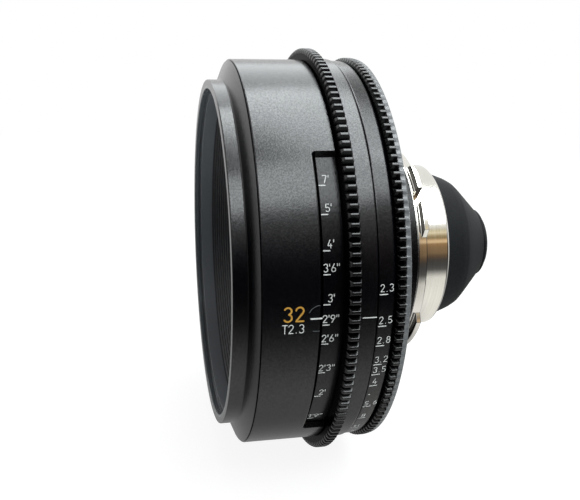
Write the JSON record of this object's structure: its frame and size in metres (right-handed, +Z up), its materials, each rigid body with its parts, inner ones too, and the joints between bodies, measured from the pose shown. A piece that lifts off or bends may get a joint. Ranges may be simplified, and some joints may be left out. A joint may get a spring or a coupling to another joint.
{
  "type": "cinema prime lens",
  "caption": "Cinema prime lens with geared focus and iris rings, a scale window, a helical focus cam, a working iris and a bayonet mount.",
  "frame": {"origin": "centre of the mount's seating face", "axes": "+X along the optical axis to the rear, +Z up, the index line and the scale window face -Y"},
  "size_m": [0.0931, 0.1296, 0.1296],
  "materials": {
    "black_anodised": "satin black anodised, fine turning grain",
    "matte_black": "matte light-trap black",
    "gear_black": "semi-gloss black anodised",
    "mount_steel": "polished stainless",
    "pin_steel": "ground steel",
    "thrust_brass": "plain bronze",
    "coated_glass": "coated optical glass",
    "blade_steel": "blackened spring steel"
  },
  "bodies": {
    "barrel": {"front_ring": "black_anodised", "hood_baffle": "matte_black", "front_sleeve": "black_anodised", "main_barrel": "black_anodised", "front_thrust_ring": "thrust_brass", "rear_thrust_ring": "thrust_brass", "index_collar": "black_anodised", "focus_stop_pin": "pin_steel", "iris_stop_pin": "pin_steel", "rear_barrel": "matte_black", "mount_shim": "mount_steel", "mount_flange": "mount_steel", "mount_screws": "pin_steel"},
    "focus": {"focus_gear": "gear_black", "focus_scale_drum": "black_anodised", "focus_hub": "black_anodised", "drum_screws": "pin_steel"},
    "iris": {"iris_ring": "black_anodised", "iris_gear": "gear_black", "iris_drive_pin": "pin_steel"},
    "lens_block": {"lens_housing": "black_anodised", "cam_rollers": "pin_steel", "front_cell": "matte_black", "front_element": "coated_glass", "front_retaining_ring": "matte_black", "second_element": "coated_glass", "third_element": "coated_glass", "pair_retaining_ring": "matte_black", "iris_base": "matte_black", "iris_cover": "matte_black", "rear_cell": "matte_black", "cell_screws": "pin_steel", "fourth_element": "coated_glass", "fifth_element": "coated_glass", "rear_pair_ring": "matte_black", "sixth_element": "coated_glass", "rear_retaining_ring": "matte_black"},
    "rotor": {"iris_rotor": "thrust_brass"},
    "blade_1": {"iris_blade_1": "blade_steel"},
    "blade_2": {"iris_blade_2": "blade_steel"},
    "blade_3": {"iris_blade_3": "blade_steel"},
    "blade_4": {"iris_blade_4": "blade_steel"},
    "blade_5": {"iris_blade_5": "blade_steel"},
    "blade_6": {"iris_blade_6": "blade_steel"},
    "blade_7": {"iris_blade_7": "blade_steel"},
    "blade_8": {"iris_blade_8": "blade_steel"}
  },
  "joints": [
    {"name": "focus_turn", "type": "hinge", "parent": "barrel", "child": "focus", "pos_m": [0, 0, 0], "axis": [1, 0, 0], "range_deg": [-38, 54]},
    {"name": "block_slide", "type": "slide", "parent": "barrel", "child": "lens_block", "axis": [1, 0, 0], "range_m": [-0.0009, 0.00128]},
    {"name": "iris_turn", "type": "hinge", "parent": "barrel", "child": "iris", "pos_m": [0, 0, 0], "axis": [1, 0, 0], "range_deg": [-58.3, 5.7]},
    {"name": "rotor_turn", "type": "hinge", "parent": "lens_block", "child": "rotor", "pos_m": [0, 0, 0], "axis": [1, 0, 0], "range_deg": [-58.31, 5.71]},
    {"name": "blade_1_pivot", "type": "hinge", "parent": "lens_block", "child": "blade_1", "pos_m": [-0.0222, 0, 0.015], "axis": [1, 0, 0], "range_deg": [-25.17, 2.47]},
    {"name": "blade_2_pivot", "type": "hinge", "parent": "lens_block", "child": "blade_2", "pos_m": [-0.0222, 0.01061, 0.01061], "axis": [1, 0, 0], "range_deg": [-25.17, 2.47]},
    {"name": "blade_3_pivot", "type": "hinge", "parent": "lens_block", "child": "blade_3", "pos_m": [-0.0222, 0.015, 0], "axis": [1, 0, 0], "range_deg": [-25.17, 2.47]},
    {"name": "blade_4_pivot", "type": "hinge", "parent": "lens_block", "child": "blade_4", "pos_m": [-0.0222, 0.01061, -0.01061], "axis": [1, 0, 0], "range_deg": [-25.17, 2.47]},
    {"name": "blade_5_pivot", "type": "hinge", "parent": "lens_block", "child": "blade_5", "pos_m": [-0.0222, 0, -0.015], "axis": [1, 0, 0], "range_deg": [-25.17, 2.47]},
    {"name": "blade_6_pivot", "type": "hinge", "parent": "lens_block", "child": "blade_6", "pos_m": [-0.0222, -0.01061, -0.01061], "axis": [1, 0, 0], "range_deg": [-25.17, 2.47]},
    {"name": "blade_7_pivot", "type": "hinge", "parent": "lens_block", "child": "blade_7", "pos_m": [-0.0222, -0.015, 0], "axis": [1, 0, 0], "range_deg": [-25.17, 2.47]},
    {"name": "blade_8_pivot", "type": "hinge", "parent": "lens_block", "child": "blade_8", "pos_m": [-0.0222, -0.01061, 0.01061], "axis": [1, 0, 0], "range_deg": [-25.17, 2.47]}
  ],
  "couplings": [
    {"joint": "block_slide", "follows": "focus_turn", "m_per_rad": 0.0013528},
    {"joint": "rotor_turn", "follows": "iris_turn", "ratio": 1},
    {"joint": "blade_1_pivot", "follows": "iris_turn", "ratio": 0.4315},
    {"joint": "blade_2_pivot", "follows": "iris_turn", "ratio": 0.4315},
    {"joint": "blade_3_pivot", "follows": "iris_turn", "ratio": 0.4315},
    {"joint": "blade_4_pivot", "follows": "iris_turn", "ratio": 0.4315},
    {"joint": "blade_5_pivot", "follows": "iris_turn", "ratio": 0.4315},
    {"joint": "blade_6_pivot", "follows": "iris_turn", "ratio": 0.4315},
    {"joint": "blade_7_pivot", "follows": "iris_turn", "ratio": 0.4315},
    {"joint": "blade_8_pivot", "follows": "iris_turn", "ratio": 0.4315}
  ]
}
